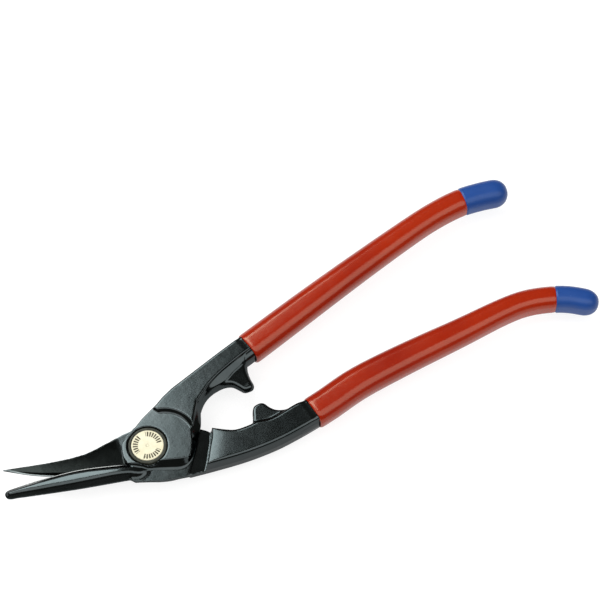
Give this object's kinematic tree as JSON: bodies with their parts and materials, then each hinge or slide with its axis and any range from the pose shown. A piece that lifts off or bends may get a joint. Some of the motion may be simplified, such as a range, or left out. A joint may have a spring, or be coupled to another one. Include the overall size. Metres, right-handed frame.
{
  "type": "tin snips",
  "caption": "Offset hand shears for sheet metal: two forged levers on a pivot bolt, slim curved blades, stop nubs and dipped grips with rounded ends.",
  "frame": {"origin": "centre of the pivot bolt's flat rear end face, which is the lowest point", "axes": "+Z along the pivot axis towards the brass disc, +X from the blades towards the grips"},
  "size_m": [0.2803, 0.0824, 0.0194],
  "materials": {
    "enamel": "gloss black enamel",
    "grip_red": "gloss dipped vinyl",
    "grip_blue": "satin dipped vinyl",
    "brass": "satin",
    "zinc": "zinc plated"
  },
  "bodies": {
    "front": {"front_lever": "enamel", "front_grip_sleeve": "grip_red", "front_grip_end": "grip_blue", "pivot_bolt": "enamel", "pivot_disc": "brass", "pivot_washer": "zinc", "pivot_spring_washer": "zinc", "pivot_nut": "zinc"},
    "rear": {"rear_lever": "enamel", "rear_grip_sleeve": "grip_red", "rear_grip_end": "grip_blue"}
  },
  "joints": [
    {"name": "pivot", "type": "hinge", "parent": "front", "child": "rear", "pos_m": [0, 0, 0.013], "axis": [0, 0, 1], "range_deg": [-25, 8]}
  ]
}
